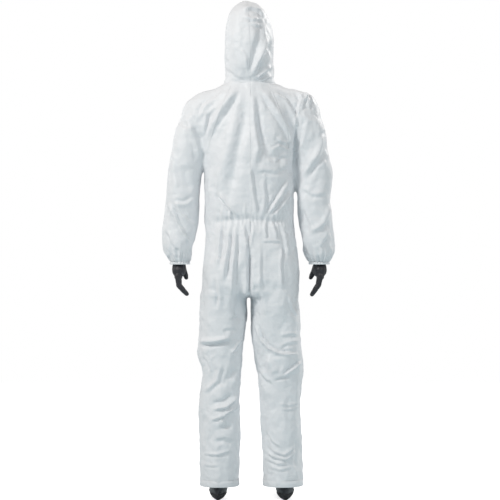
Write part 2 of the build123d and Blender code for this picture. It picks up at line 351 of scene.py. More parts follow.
TORSO = [
    (22, 0, 78, -88, 62),
    (10, -2, 92, front_at(0), 72),
    (0, -4, 112, front_at(0), 82),
    (-12, -2, 136, front_at(-12), 92),
    (-28, 0, 152, front_at(-28), 99),
    (-55, 0, 162, front_at(-55), 107),
    (-110, 1, 172, front_at(-110), 118),
    (-180, 2, 174, front_at(-180), 125),
    (-240, 4, 171, front_at(-240), 127),
    (-290, 3, 165, front_at(-290), 128),
    (-400, 3, 164, front_at(-400), 122),
    (-451, 3, 164, front_at(-451), 119),
    (-500, 2, 164, front_at(-500), 118),
    (-560, 0, 169, front_at(-560), 126),
    (-640, 0, 176, front_at(-640), 134),
    (-700, 1, 180, front_at(-700), 136),
    (-740, 2, 181, -128, 134),
    (-776, 2, 176, -114, 120),
]
LEG_L = [
    (-640, 94, 86, -118, 122),
    (-740, 96, 87, -118, 126),
    (-807, 97, 87, -112, 118),
    (-866, 98, 86, -103, 108),
    (-925, 103, 82, -94, 100),
    (-985, 105, 80, -88, 94),
    (-1030, 105, 77, -85, 88),
    (-1075, 107, 73, -84, 84),
    (-1132, 111, 74, -84, 83),
    (-1191, 113, 75, -88, 82),
    (-1280, 112, 76, -93, 81),
    (-1370, 112, 75, -98, 80),
    (-1460, 111, 74, -102, 78),
    (-1486, 108, 73, -103, 77),
]
LEG_R = [
    (-640, -94, 88, -118, 122),
    (-740, -92, 92, -118, 126),
    (-807, -93, 91, -112, 118),
    (-866, -95, 92, -103, 108),
    (-925, -97, 92, -96, 100),
    (-985, -103, 90, -90, 96),
    (-1020, -109, 91, -88, 92),
    (-1075, -113, 83, -86, 86),
    (-1132, -111, 77, -84, 83),
    (-1191, -112, 74, -87, 82),
    (-1280, -117, 74, -93, 81),
    (-1370, -120, 72, -98, 80),
    (-1460, -122, 73, -102, 78),
    (-1486, -123, 73, -103, 77),
]
# Sleeves: the head is rounded over the shoulder, then hangs
SLEEVE_L = [
    (-14, 148, 26, -24, 24),
    (-27, 154, 42, -44, 44),
    (-42, 160, 54, -58, 58),
    (-62, 163, 75, -70, 70),
    (-96, 166, 85, -80, 80),
    (-130, 186, 75, -80, 80),
    (-185, 212, 66, -76, 76),
    (-244, 228, 61, -72, 72),
    (-303, 237, 61, -69, 69),
    (-363, 244, 61, -68, 67),
    (-394, 249, 62, -69, 67),
    (-451, 250, 62, -70, 64),
    (-511, 257, 67, -71, 62),
    (-570, 263, 62, -70, 58),
    (-600, 268, 56, -66, 54),
    (-628, 265, 51, -60, 48),
    (-641, 262, 47, -55, 44),
    (-649, 262, 38, -46, 36),
    (-655, 262, 31, -38, 29),
    (-672, 262, 29, -36, 28),
]
SLEEVE_R = [
    (-8, -148, 30, -24, 24),
    (-20, -156, 48, -44, 44),
    (-36, -164, 62, -58, 58),
    (-60, -168, 82, -70, 70),
    (-96, -172, 88, -80, 80),
    (-130, -194, 77, -80, 80),
    (-185, -217, 68, -76, 76),
    (-244, -229, 63, -72, 72),
    (-303, -236, 65, -69, 69),
    (-363, -238, 66, -68, 67),
    (-394, -239, 66, -69, 67),
    (-451, -241, 67, -70, 64),
    (-511, -246, 66, -71, 62),
    (-570, -253, 60, -70, 58),
    (-600, -256, 60, -66, 54),
    (-628, -256, 56, -60, 48),
    (-641, -257, 50, -55, 44),
    (-649, -257, 40, -46, 36),
    (-655, -257, 33, -38, 29),
    (-672, -257, 30, -36, 28),
]
HOOD = [
    (-14, 0, 78, -84, 62),
    (6, 0, 86, -98, 72),
    (22, 1, 87, -103, 84),
    (60, 1, 87, -107, 104),
    (110, 2, 88, -109, 118),
    (160, 3, 88.5, -110, 124),
    (205, 5, 84, -106, 121),
    (235, 7, 78, -96, 112),
    (262, 8, 70, -80, 98),
    (284, 9, 58, -60, 80),
    (300, 9, 43, -38, 58),
    (309, 8, 27, -18, 38),
    (314, 8, 12, -2, 22),
]

VOXEL = 0.0047
limbs = [tube(table, 60) for table in (LEG_L, LEG_R, SLEEVE_L, SLEEVE_R)]
suit = new_mesh("suit_form", *merge([tube(TORSO, 60, 96), *limbs, tube(HOOD, 40, 64)]))
apply_modifier(suit, "REMESH", mode="VOXEL", voxel_size=VOXEL)
mesh = suit.data
co = coords(mesh)
x, z = co[:, 0], co[:, 2]

# soften the voxel steps, and more where sleeves, legs and hood join
armholes = smoothstep(0.10, 0.14, np.abs(x)) * smoothstep(0.24, 0.19, np.abs(x))
armholes = armholes * smoothstep(-0.36, -0.30, z) * smoothstep(0.02, -0.01, z)
seat = smoothstep(-0.56, -0.62, z) * smoothstep(-0.785, -0.755, z)
neck = smoothstep(0.035, 0.01, np.abs(z))
join = np.maximum(np.maximum(armholes, seat), neck)
co = neighbours_smooth(mesh, co, 20, None, 0.6)
co = neighbours_smooth(mesh, co, 55, join, 0.8)
set_coords(mesh, co)

# --------------------------------------------------------------- fold field


def stroke(facing, points, width, height, valley=0.0, side=1, fade_in=0.25):
    """One fold along a path of (x, z) in mm: a ridge, with a valley on one side."""
    p = np.array(points) / 1000
    width, height = width / 1000, height / 1000
    seg = np.diff(p, axis=0)
    length = np.sqrt((seg**2).sum(1))
    q = co[:, [0, 2]]
    best = np.full(len(co), 1e9)
    signed, along = np.zeros(len(co)), np.zeros(len(co))
    start = 0.0
    for i in range(len(seg)):
        d = q - p[i]
        t = np.clip((d @ seg[i]) / length[i] ** 2, 0, 1)
        r = d - t[:, None] * seg[i]
        dist = np.sqrt((r**2).sum(1))
        sign = np.sign(seg[i][0] * d[:, 1] - seg[i][1] * d[:, 0])
        near = dist < best
        best = np.where(near, dist, best)
        signed = np.where(near, dist * sign, signed)
        along = np.where(near, (start + t * length[i]) / length.sum(), along)
        start += length[i]
    taper = smoothstep(0, fade_in, along) * smoothstep(1, 1 - fade_in, along)
    body = bell(signed, width)
    if valley:
        body = body - valley * bell(signed * side - 1.35 * width, 0.75 * width)
    fade = bell(np.maximum(0, best - 3 * width), width)
    return height * body * taper * fade * facing


co = coords(mesh)
no = normals(mesh)
x, y, z = co.T
back = smoothstep(0.0, 0.45, no[:, 1])
front = smoothstep(0.0, 0.45, -no[:, 1])
bend = np.zeros(len(co))

# Each fold: points (x, z), width, height, then the depth of the valley beside it and its side
BACK = [
    # shoulder blades: folds pulled from the neck down to the armpits and waist
    ([(41, -7), (85, -70), (133, -145), (168, -215)], 11, 10, 0.8, -1),
    ([(50, -35), (92, -150), (140, -245)], 17, -11),
    ([(-168, -140), (-168, -230), (-166, -330)], 4.5, -16),
    ([(80, -20), (130, -55), (170, -85), (178, -130)], 9, 5.5, 0.7),
    ([(120, -80), (160, -110), (172, -190)], 8, 5.5, 0.8, -1),
    ([(55, -145), (96, -290), (126, -400)], 26, 9, 0.3, -1),
    ([(18, -20), (22, -145), (48, -255), (63, -365), (85, -450)], 19, -12),
    ([(-8, -15), (-18, -160), (-30, -235), (-10, -320)], 12, 9, 0.7, -1),
    ([(0, -300), (-11, -400), (-29, -492)], 7, 6.8, 0.8, -1),
    ([(-26, -95), (-45, -200), (-70, -265), (-140, -275)], 13, -8),
    ([(-41, -12), (-90, -90), (-140, -170), (-160, -250)], 10, 9, 0.8),
    ([(-70, -20), (-130, -55), (-165, -120), (-168, -200)], 8, 7, 0.8, -1),
    ([(122, -392), (85, -437), (41, -490)], 7, 9.5, 1),
    ([(150, -300), (146, -380), (128, -440)], 12, 5, 0.6, -1),
    ([(-148, -340), (-107, -414), (-63, -484)], 7, 8.5, 0.9),
    ([(-155, -385), (-115, -450), (-78, -494)], 7, 7.5, 0.9),
    ([(-45, -340), (-55, -410), (-48, -484)], 8, 6, 0.8, -1),
    ([(-10, -322), (-50, -312), (-90, -318), (-152, -285)], 9, 3.8, 1),
    ([(-90, -190), (-120, -215), (-150, -210)], 5, 4.5, 1),
    ([(-70, -245), (-110, -225), (-155, -245)], 5, 4.5, 1, -1),
    ([(-85, -285), (-120, -262), (-150, -262)], 5, 4.5, 1),
    # crumpled right shoulder
    ([(-172, -15), (-190, -50), (-178, -85), (-176, -130)], 6, 8, 1),
    ([(-195, -20), (-212, -50), (-222, -90)], 6, 7, 1, -1),
    ([(-215, -30), (-198, -60), (-186, -100)], 5, 6, 1, -1),
    # gathers above the waist elastic
    ([(105, -455), (100, -478), (98, -496)], 5, 5.5, 0.8),
    ([(72, -458), (74, -480), (72, -498)], 5, 5.5, 0.8, -1),
    ([(18, -440), (20, -470), (18, -498)], 5, 5.5, 0.8),
    ([(-96, -462), (-100, -480), (-102, -498)], 5, 5, 0.8),
    ([(-125, -455), (-128, -475), (-126, -498)], 5, 5, 0.8, -1),
    # folds that fall from the waist elastic
    ([(107, -504), (111, -607), (118, -680)], 7, 8.5, 0.9, -1),
    ([(74, -504), (81, -607), (92, -680), (100, -736)], 8, 9.5, 0.9, -1),
    ([(52, -504), (55, -607), (63, -700), (67, -790)], 8, 9.5, 0.9, -1),
    ([(26, -504), (15, -570), (8, -625)], 6, 7.5, 0.9, -1),
    ([(90, -506), (94, -540), (92, -575)], 5, 5.5, 0.9),
    ([(-18, -504), (-4, -570), (4, -640)], 6, 7, 0.9),
    ([(-55, -504), (-56, -540), (-60, -570)], 6, 6, 0.9, -1),
    ([(-85, -504), (-92, -540), (-96, -572)], 6, 6.5, 0.9, -1),
    ([(-118, -508), (-128, -560), (-138, -640)], 7, 5.5, 0.9),
    ([(-41, -574), (-80, -573), (-119, -576)], 4.5, 4.8, 1),
    ([(-119, -578), (-111, -650), (-113, -700), (-119, -760)], 5, 7, 1, -1),
    ([(-40, -590), (-36, -680), (-40, -760)], 6, 4, 0.9, -1),
    # seat
    ([(0, -575), (1, -640), (3, -830)], 6, -21),
    ([(36, -640), (33, -736), (44, -847), (56, -905)], 20, -19),
    ([(118, -700), (108, -770), (112, -830)], 8, 6, 0.9),
    ([(-18, -700), (-50, -780), (-62, -860)], 10, 6, 0.7),
    ([(-140, -770), (-155, -820), (-178, -850)], 7, 4.5, 0.9),
    # back of the left knee
    ([(190, -945), (130, -940), (65, -925)], 10, 13, 1),
    ([(100, -903), (72, -900), (45, -903)], 6, -7),
    ([(80, -856), (55, -850), (26, -846)], 6, 5, 0.8),
    ([(74, -990), (48, -958), (28, -930)], 5, 9.5, 1),
    ([(175, -990), (150, -1020), (140, -1060)], 7, 6, 0.9),
    ([(172, -1135), (122, -1085), (104, -1015)], 10, 8.5, 0.8),
    ([(110, -1110), (70, -1060), (40, -1043)], 12, -8),
    ([(60, -1105), (48, -1060), (34, -1020)], 8, 6, 0.8),
    ([(142, -1172), (98, -1158), (64, -1134)], 6, -10),
    ([(140, -1192), (88, -1182), (36, -1136)], 6, 10.5, 1),
    ([(146, -1232), (96, -1214), (50, -1182)], 6, 8.5, 1),
    ([(116, -1222), (100, -1236), (92, -1262)], 6, 6, 0.9, -1),
    ([(110, -1258), (88, -1258), (62, -1252)], 4, -8.5),
    ([(136, -1314), (96, -1304), (60, -1322)], 8, -7),
    ([(172, -1354), (118, -1356), (64, -1340)], 5, 6.5, 0.9),
    ([(170, -1392), (140, -1398), (110, -1394)], 5, 3.5, 0.9),
    ([(118, -1280), (119, -1380), (118, -1478)], 12, 4.2),
    # back of the right knee
    ([(-20, -870), (-41, -932), (-70, -966), (-107, -984), (-182, -990)], 6, 11, 1, -1),
    ([(-110, -920), (-145, -912), (-178, -916)], 6, 5, 0.9),
    ([(-100, -965), (-135, -945), (-182, -940)], 7, 5, 0.9),
    ([(-122, -1070), (-155, -1043), (-192, -1014)], 6, 10.5, 1, -1),
    ([(-88, -1086), (-116, -1078), (-148, -1076)], 4, -9),
    ([(-36, -1040), (-64, -1078), (-92, -1094)], 8, 6.5, 0.8),
    ([(-60, -1000), (-85, -1030), (-100, -1060)], 12, 6, 0.6, -1),
    ([(-104, -1172), (-145, -1176), (-182, -1170)], 4, 4.2, 1),
    ([(-110, -1190), (-150, -1192), (-184, -1184)], 4, 3.8, 1),
    ([(-120, -1130), (-123, -1200), (-124, -1290)], 11, 4),
    ([(-62, -1270), (-84, -1310), (-118, -1330)], 5, 5, 1),
    ([(-60, -1322), (-89, -1347), (-126, -1358), (-182, -1322)], 5, 7, 1),
    ([(-56, -1346), (-92, -1368), (-132, -1376), (-180, -1346)], 5, 7, 1),
    ([(-60, -1372), (-100, -1390), (-145, -1390)], 5, 5.5, 1),
    ([(-66, -1402), (-110, -1412), (-160, -1402)], 5, 4.5, 1),
    ([(-170, -1300), (-176, -1350), (-166, -1410)], 7, -7),
    # left sleeve
    ([(240, -100), (218, -163), (192, -237), (180, -300)], 11, 8.5, 0.7),
    ([(206, -150), (188, -185), (174, -212)], 7, -7),
    ([(250, -290), (236, -340), (226, -400)], 18, -8.5),
    ([(285, -230), (280, -330), (262, -400)], 12, 5, 0.6, -1),
    ([(302, -425), (263, -514), (216, -594)], 8, 9.5, 0.9, -1),
    ([(270, -440), (248, -480), (212, -520)], 8, 5.5, 0.8, -1),
    ([(196, -415), (240, -440), (285, -436)], 8, 5, 0.9),
    ([(310, -530), (285, -575), (262, -610)], 7, 6, 0.9),
    # right sleeve
    ([(-282, -170), (-248, -255), (-205, -318), (-182, -350)], 14, 10.5, 0.8, -1),
    ([(-215, -120), (-200, -180), (-186, -250)], 10, 6, 0.7),
    ([(-196, -370), (-230, -400), (-285, -395)], 10, 5, 0.8),
    ([(-302, -430), (-274, -503), (-222, -545)], 11, 9.5, 0.8, -1),
    ([(-205, -450), (-222, -500), (-236, -560)], 9, 5.5, 0.8),
    ([(-300, -520), (-275, -565), (-250, -600)], 8, 6, 0.9, -1),
    # hood: drawn together at the nape, rumpled at the crown
    ([(-45, 262), (-40, 190), (-20, 115), (-1, 32)], 13, -11),
    ([(-72, 178), (-50, 126), (-26, 78), (-6, 26)], 10, 10.5, 0.9, -1),
    ([(-80, 72), (-48, 44), (-18, 20)], 7, 9.5, 1, -1),
    ([(-84, 35), (-55, 22), (-30, 14)], 5, 6, 1, -1),
    ([(67, 207), (55, 115), (18, 32)], 14, 4, 0.6),
    ([(41, 140), (15, 96), (5, 34)], 6, 3.4, 0.9, -1),
    ([(84, 67), (45, 34), (10, 20)], 7, 3.2, 0.9),
    ([(33, 266), (-4, 284), (-41, 276), (-58, 248)], 7, 6.5, 1),
    ([(26, 250), (-10, 236), (-50, 246)], 6, 5, 1),
    ([(-6, 226), (-24, 214), (-52, 222)], 5, 4.5, 1),
]
for fold in BACK:
    bend += stroke(back, *fold)

# The front folds the same way as the back, in looser form, clear of the flap
FRONT_FOLDS = [
    ([(60, -20), (100, -110), (150, -240)], 12, 5, 0.7),
    ([(-60, -20), (-105, -120), (-150, -270)], 12, 5, 0.7, -1),
    ([(160, -290), (110, -360), (60, -410)], 12, 4.5, 0.6, -1),
    ([(-155, -320), (-105, -390), (-55, -440)], 12, 4.5, 0.6),
    ([(150, -420), (110, -470), (60, -500)], 11, 4, 0.6),
    ([(-150, -440), (-110, -480), (-60, -505)], 11, 4, 0.6, -1),
    ([(130, -600), (80, -680), (15, -760)], 14, 6, 0.6, -1),
    ([(-130, -610), (-85, -690), (-15, -765)], 14, 6, 0.6),
    ([(160, -740), (100, -800), (30, -830)], 13, 5.5, 0.6, -1),
    ([(-160, -760), (-100, -810), (-30, -840)], 13, 5.5, 0.6),
    ([(165, -990), (110, -1020), (45, -1000)], 13, 5.5, 0.7),
    ([(175, -1100), (115, -1130), (50, -1110)], 12, 5, 0.7, -1),
    ([(175, -1250), (115, -1290), (50, -1270)], 12, 4.2, 0.6),
    ([(170, -1400), (110, -1430), (50, -1410)], 12, 5.5, 0.6, -1),
    ([(-165, -1000), (-110, -1030), (-45, -1010)], 13, 5.5, 0.7, -1),
    ([(-175, -1120), (-115, -1145), (-50, -1125)], 12, 5, 0.7),
    ([(-175, -1270), (-115, -1300), (-50, -1280)], 12, 4.2, 0.6, -1),
    ([(-170, -1410), (-110, -1435), (-50, -1420)], 12, 5.5, 0.6),
    ([(200, -340), (245, -370), (300, -360)], 12, 5.8, 0.7),
    ([(200, -410), (250, -420), (305, -450)], 12, 5.8, 0.7, -1),
    ([(215, -500), (260, -490), (310, -520)], 12, 4.5, 0.7),
    ([(-190, -350), (-240, -375), (-295, -365)], 12, 5.8, 0.7, -1),
    ([(-190, -420), (-245, -430), (-300, -455)], 12, 5.8, 0.7),
    ([(-205, -510), (-250, -500), (-300, -530)], 12, 4.5, 0.7, -1),
]
for fold in FRONT_FOLDS:
    bend += stroke(front * smoothstep(0.030, 0.050, np.abs(x)), *fold)

# Waist elastic draws the back in and gathers it
span = smoothstep(0.150, 0.118, np.abs(x - 0.005))
waist = z - (-0.498 + 0.0035 * np.sin(x * 31 + 0.8) + 0.0015 * np.sin(x * 97))
bend -= 0.0070 * bell(waist, 0.012) * back * span
bend -= 0.0045 * bell(waist, 0.040) * back
drift = 2.6 * np.sin(x * 47) + 60 * (z + 0.5) * np.sin(x * 80)
ruffle = np.sin(x * TURN / 0.0165 + drift)
bend += 0.0030 * ruffle * bell(waist, 0.021) * back * span

# Seams are drawn in a little
centre = bell(x - np.interp(-z, [0, 0.3, 0.5, 0.56], [0, 0, -0.004, 0]), 0.0035)
bend -= 0.0010 * centre * back * smoothstep(0.30, 0.28, z) * smoothstep(-0.80, -0.78, z)
cleft = smoothstep(-0.56, -0.62, z) * smoothstep(-0.90, -0.84, z)
bend -= 0.0050 * bell(x, 0.011) * back * cleft
bend -= 0.0035 * bell(z - 0.010, 0.006) * smoothstep(0.16, 0.12, np.abs(x))

# Loose crumple of the film: flat facets that meet in creases


def cells(i, j, k, seed, n):
    """n numbers from 0 to 1 for each cell."""
    mask = np.uint64(0xFFFFFFFF)
    i, j, k = (v.astype(np.int64) for v in (i, j, k))
    h = (i * 73856093) ^ (j * 19349663) ^ (k * 83492791) ^ (seed * 97531)
    h = h.astype(np.uint64) & mask
    out = []
    for _ in range(n):
        h = ((h ^ (h >> np.uint64(15))) * np.uint64(0x2C1B3C6D)) & mask
        h = ((h ^ (h >> np.uint64(12))) * np.uint64(0x297A2D39)) & mask
        h = (h ^ (h >> np.uint64(15)) ^ np.uint64(0x9E3779B9)) & mask
        out.append(h.astype(float) / float(0xFFFFFFFF))
    return out


def clouds(p, scale, seed):
    """Smooth noise, -1 to 1."""
    q = p / scale
    base = np.floor(q).astype(np.int64)
    f = q - base
    f = f * f * (3 - 2 * f)
    total = np.zeros(len(p))
    for corner in itertools.product((0, 1), repeat=3):
        w = [f[:, n] if c else 1 - f[:, n] for n, c in enumerate(corner)]
        total += cells(*(base + corner).T, seed, 1)[0] * (w[0] * w[1] * w[2])
    return total * 2 - 1


def facets(p, scale, seed):
    """Field of tilted facets with creases between them, mean 0, deviation 1."""
    scale = np.array(scale)
    warp = np.stack([clouds(p, scale.mean() * 1.3, seed + 50 + c) for c in range(3)], axis=1)
    q = (p + warp * scale * 0.30) / scale
    base = np.floor(q).astype(np.int64)
    best = np.full(len(p), -1e9)
    for offset in itertools.product((-1, 0, 1), repeat=3):
        r = cells(*(base + offset).T, seed, 7)
        d = q - (base + offset) - np.stack(r[:3], axis=1)
        tilt = np.stack(r[3:6], axis=1) - 0.5
        plane = 0.35 * r[6] + 1.1 * (tilt * d).sum(1) - 0.55 * (d * d).sum(1)
        best = np.maximum(best, plane)
    return (best - best.mean()) / best.std()

PATCHES = [
    # rumpled places: x, z, radius, extra
    (-0.205, -0.060, 0.042, 1.8), (-0.110, -0.225, 0.060, 1.1), (0.160, -0.110, 0.040, 1.1),
    (-0.020, 0.245, 0.045, 1.6), (0.000, 0.012, 0.030, 1.2), (0.278, -0.612, 0.050, 1.8),
    (-0.268, -0.612, 0.050, 1.8), (0.100, -0.760, 0.040, 1.0), (0.160, -1.010, 0.055, 1.4),
    (-0.105, -0.985, 0.050, 1.2), (0.110, -1.160, 0.060, 1.0), (-0.110, -1.390, 0.080, 0.9),
    (0.120, -1.300, 0.070, 0.6), (-0.080, -1.040, 0.050, 0.8),
]
rumple = np.ones(len(co))
for px, pz, radius, more in PATCHES:
    rumple += more * np.exp(-((z - pz) ** 2 + (x - px) ** 2) / radius**2)
calm = smoothstep(0.018, 0.045, np.abs(x)) * front + (1 - front)
smooth_top = 1 - 0.45 * smoothstep(0.10, 0.16, z) * smoothstep(0.02, 0.05, x)
folds = 0.0021 * facets(co, (0.085, 0.085, 0.150), 3)
folds -= 0.0013 * facets(co, (0.055, 0.055, 0.080), 11)
fine = 0.00075 * facets(co, (0.030, 0.030, 0.042), 21)
fine -= 0.00042 * facets(co, (0.017, 0.017, 0.020), 37)
bend += (folds * (0.6 + 0.4 * rumple) + fine * rumple) * calm * smooth_top

# Gathered cuffs
for cuff_x in (0.263, -0.258):
    near = np.exp(-(((x - cuff_x) / 0.07) ** 4)) * smoothstep(-0.578, -0.630, z)
    angle = np.arctan2(y + 0.005, x - cuff_x)
    tucks = 0.0036 * np.sin(angle * 17 + 1.5 * np.sin(angle * 3))
    bend += (tucks + 0.0016 * np.sin(angle * 7 + 90 * z)) * near

co = neighbours_smooth(mesh, co + no * bend[:, None], 1, None, 0.35)
set_coords(mesh, co)

# ------------------------------------------------------------- cut to pieces
NECK_Z, ELBOW_Z, WAIST_Z, KNEE_Z = 0.002, -0.375, -0.500, -0.967
HEM_Z, CUFF_Z, SLEEVE_END_Z = -1.477, -0.659, -0.70
FACE_X, FACE_Z, FACE_RX, FACE_RZ = 0.0, 0.143, 0.0600, 0.1000
# the armhole seams: height below the neck, distance from the centre
ARMHOLE = {
    "left": (
        [0.0, 0.08, 0.16, 0.27, 0.34, 0.50, 0.57, 0.65],
        [0.068, 0.100, 0.133, 0.164, 0.178, 0.178, 0.189, 0.198],
    ),
    "right": (
        [0.0, 0.08, 0.16, 0.27, 0.318, 0.40, 0.51, 0.57, 0.65],
        [0.068, 0.100, 0.133, 0.152, 0.163, 0.168, 0.170, 0.186, 0.192],
    ),
}
bm = bmesh.new()
bm.from_mesh(mesh)


def in_face(c):
    """Offset from the middle of the face opening, 1 on its edge."""
    return (c.x - FACE_X) / FACE_RX, (c.z - FACE_Z) / FACE_RZ


def cut_plane(height, pick):
    geom = [f for f in bm.faces if pick(f.calc_center_median())]
    edges = dict.fromkeys(e for f in geom for e in f.edges)
    verts = dict.fromkeys(v for f in geom for v in f.verts)
    bmesh.ops.bisect_plane(
        bm, geom=[*geom, *edges, *verts], plane_co=(0, 0, height), plane_no=(0, 0, 1)
    )


cut_plane(HEM_Z, lambda c: abs(c.z - HEM_Z) < 0.02)
cut_plane(CUFF_Z, lambda c: abs(c.z - CUFF_Z) < 0.02 and abs(c.x) > 0.19)
gone = []
for f in bm.faces:
    c = f.calc_center_median()
    past_cuff = SLEEVE_END_Z < c.z < CUFF_Z and abs(c.x) > 0.212
    dx, dz = in_face(c)
    if c.z < HEM_Z or past_cuff or (c.y < -0.03 and dx**2 + dz**2 < 1):
        gone.append(f)
bmesh.ops.delete(bm, geom=gone, context="FACES")
for v in bm.verts:
    if v.is_boundary and v.co.y < -0.03 and v.co.z > 0.02:
        dx, dz = in_face(v.co)
        r = math.hypot(dx, dz)
        v.co.x, v.co.z = FACE_X + FACE_RX * dx / r, FACE_Z + FACE_RZ * dz / r
bm.to_mesh(mesh)
bm.free()
mesh.update()
surface = BVHTree.FromObject(suit, bpy.context.evaluated_depsgraph_get())


def region(c):
    """Which piece a point of the suit belongs to."""
    s = "left" if c.x > 0 else "right"
    if c.z > NECK_Z and abs(c.x) < 0.13:
        return "hood"
    if abs(c.x) > np.interp(-c.z, *ARMHOLE[s]) and c.z > SLEEVE_END_Z:
        return ("sleeve_upper_" if c.z > ELBOW_Z else "sleeve_lower_") + s
    if c.z > WAIST_Z:
        return "torso"
    return ("leg_upper_" if c.z > KNEE_Z else "leg_lower_") + s


# pieces keep the whole suit's normals, so no edge shows where they meet
full_normals = [v.normal.copy() for v in mesh.vertices]
groups = {}
for poly in mesh.polygons:
    groups.setdefault(region(poly.center), []).append(poly)

pieces = {}
for name, polys in sorted(groups.items()):
    used = {}
    faces = [[used.setdefault(v, len(used)) for v in poly.vertices] for poly in polys]
    obj = new_mesh("suit_" + name, [mesh.vertices[v].co for v in used], faces)
    obj.data.normals_split_custom_set_from_vertices([full_normals[v] for v in used])
    pieces[name] = dressed(obj, CLOTH)


def armhole(s):
    """Ordered rim where one sleeve leaves the body, pulled a little under the cloth."""
    kinds = {}
    for name, polys in groups.items():
        for poly in polys:
            for key in poly.edge_keys:
                kinds.setdefault(key, set()).add(name in ("sleeve_upper_" + s, "sleeve_lower_" + s))
    link = {}
    for a, b in sorted(key for key, both in kinds.items() if len(both) == 2):
        link.setdefault(a, []).append(b)
        link.setdefault(b, []).append(a)
    loops = []
    while link:
        loop = [min(link)]
        while link.get(loop[-1]):
            following = link[loop[-1]].pop(0)
            link[following].remove(loop[-1])
            loop.append(following)
        loops.append(loop)
        link = {k: v for k, v in link.items() if v}
    rim = [mesh.vertices[i] for i in max(loops, key=len)[:-1]]
    return [v.co - v.normal * 0.0015 for v in rim]


def wall(name, rim, shift):
    """Cloth closing an armhole on one side, hidden while the arm hangs."""
    rings, n = 6, len(rim)
    centre = sum(rim, Vector()) / n
    verts = []
    for k in range(rings):
        inset = Vector((shift * min(k, 2) / 2, 0, 0))
        verts += [p.lerp(centre, k / rings) + inset for p in rim]
    verts.append(centre + Vector((shift, 0, 0)))
    last = (rings - 1) * n
    fan = [(last + i, last + (i + 1) % n, rings * n) for i in range(n)]
    return dressed(new_mesh(name, verts, quads(rings, n) + fan), CLOTH)


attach(pieces["torso"], "torso")
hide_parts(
    "back_panel_left", "back_panel_right", "front_panel_left",
    "front_panel_right", "neck_band", "armhole_binding_left", "armhole_binding_right",
    "waist_elastic", "back_seam_binding",
)
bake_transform(pieces["hood"])
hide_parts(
    "hood_panel_left", "hood_panel_right", "hood_seam_binding",
    "face_opening_elastic",
)
for s, g in SIDES:
    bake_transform(pieces["sleeve_upper_" + s])
    rim = armhole(s)
    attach(wall("armhole_wall_body_" + s, rim, -0.004 * g), "torso")
    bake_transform(wall("armhole_wall_sleeve_" + s, rim, 0.004 * g))
    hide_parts("upper_sleeve_" + s)
    lower = pieces["sleeve_lower_" + s]
    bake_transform(lower)
    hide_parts("lower_sleeve_" + s, "cuff_elastic_" + s)
    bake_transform(pieces["leg_upper_" + s])
    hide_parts("upper_leg_" + s)
    lower = pieces["leg_lower_" + s]
    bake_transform(lower)
    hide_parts("lower_leg_" + s, "ankle_hem_" + s)
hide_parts("crotch_gusset")
bpy.data.objects.remove(suit)

# ------------------------------------------------------- lying on the cloth


def drop(x, z, side=1):
    """Point and outward normal of the suit under (x, z), from behind or in front."""
    hit, nor, _, _ = surface.ray_cast(Vector((x, 0.5 * side, z)), Vector((0, -side, 0)))
    if hit is None:
        hit, nor, _, _ = surface.find_nearest(Vector((x, 0.08 * side, z)))
    if nor.y * side < 0 and abs(nor.y) > 0.2:
        nor = -nor
    return hit, nor


def dense(points, step):
    """The same line with points a step or less apart."""
    p = [Vector(q) for q in points]
    out = [p[0]]
    for a, b in zip(p, p[1:]):
        n = max(1, round((b - a).length / step))
        out += [a.lerp(b, k / n) for k in range(1, n + 1)]
    return out


PROFILE = [(-1, -0.4), (-0.85, 0.55), (-0.5, 0.9), (0, 1), (0.5, 0.9), (0.85, 0.55), (1, -0.4)]


def strip(name, rail, half, height, closed=False, wave=0.0):
    """Flat raised tape along a rail of (point, normal)."""
    pts = [p for p, _ in rail]
    n = len(pts)
    verts = []
    for i, (p, nor) in enumerate(rail):
        a = pts[(i - 1) % n] if closed or i else pts[i]
        b = pts[(i + 1) % n] if closed or i < n - 1 else pts[i]
        t = (b - a).normalized()
        s = t.cross(nor).normalized()
        up = s.cross(t).normalized()
        if up.dot(nor) < 0:
            up = -up
        lift = 1 + wave * math.sin(i * 1.9)
        verts += [p + s * (u * half) + up * (h * height * lift) for u, h in PROFILE]
    faces = quads(n, len(PROFILE), round_rows=False, round_cols=closed)
    return dressed(new_mesh(name, verts, faces), SEAM)


def seam(name, points, half=0.0032, height=0.0011, side=1):
    """Taped seam along a line of (x, z)."""
    rail = [drop(v.x, v.z, side) for v in dense([(x, 0, z) for x, z in points], 0.004)]
    pts = [p for p, _ in rail]
    for _ in range(3):
        pts = averaged(pts, False)
    return strip(name, [(p, n) for p, (_, n) in zip(pts, rail)], half, height, wave=0.12)


upper_line = [(0, 0.002), (0.001, -0.120), (-0.001, -0.300), (-0.004, -0.480)]
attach(seam("seam_back_upper", upper_line, 0.0022, 0.0007), "torso")
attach(seam("seam_back_seat", [(0, -0.504), (0, -0.780)]), "torso")
hood_line = [(0, 0.014), (0.001, 0.150), (0.006, 0.240), (0.008, 0.300)]
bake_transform(seam("seam_hood", hood_line, 0.0022, 0.0006))
for s, g in SIDES:
    end = (0.158, -0.245) if s == "left" else (0.150, -0.262)
    line = [(0.072, -0.006), (0.086, -0.040), (0.104, -0.085), (0.133, -0.160), end]
    line = [(g * x, z) for x, z in line]
    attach(seam("seam_raglan_back_" + s, line), "torso")
    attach(seam("seam_raglan_front_" + s, line, side=-1), "torso")

# Neck seam, round the whole collar
rail = []
for k in range(120):
    d = Vector((math.cos(TURN * k / 120), math.sin(TURN * k / 120), 0))
    hit, _, _, _ = surface.ray_cast(Vector((0, -0.012, 0.010)) + d * 0.3, -d)
    rail.append((hit, d))
pts = [p for p, _ in rail]
for _ in range(4):
    pts = averaged(pts, True)
rail = [(p, n) for p, (_, n) in zip(pts, rail)]
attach(strip("seam_neck", rail, 0.0034, 0.0013, closed=True, wave=0.2), "torso")

# ------------------------------------------------------------------ hems


